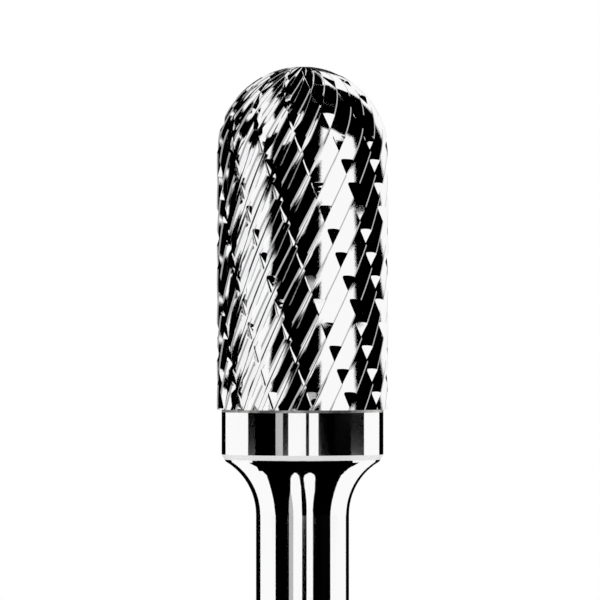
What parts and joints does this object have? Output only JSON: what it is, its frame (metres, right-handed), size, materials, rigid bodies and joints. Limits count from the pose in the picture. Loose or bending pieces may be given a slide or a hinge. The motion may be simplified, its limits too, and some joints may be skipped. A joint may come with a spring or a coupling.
{
  "type": "carbide burr",
  "caption": "Rotary burr with a double-cut tungsten-carbide head, cylindrical with a ball nose, brazed to a turned steel collar with a concave flare down to a round collet shank",
  "frame": {"origin": "centre of the flat end of the shank, which is the lowest point", "axes": "+Z along the tool's axis from the shank's flat end to the nose of the head; X and Y across it"},
  "size_m": [0.0126, 0.0126, 0.0698],
  "materials": {
    "carbide": "ground tungsten carbide, bright",
    "braze": "silver braze, cleaned back to a dull satin",
    "steel": "turned and ground steel, polished"
  },
  "bodies": {
    "root": {"cutting_head": "carbide", "braze_layer": "braze", "shank": "steel"}
  },
  "joints": []
}
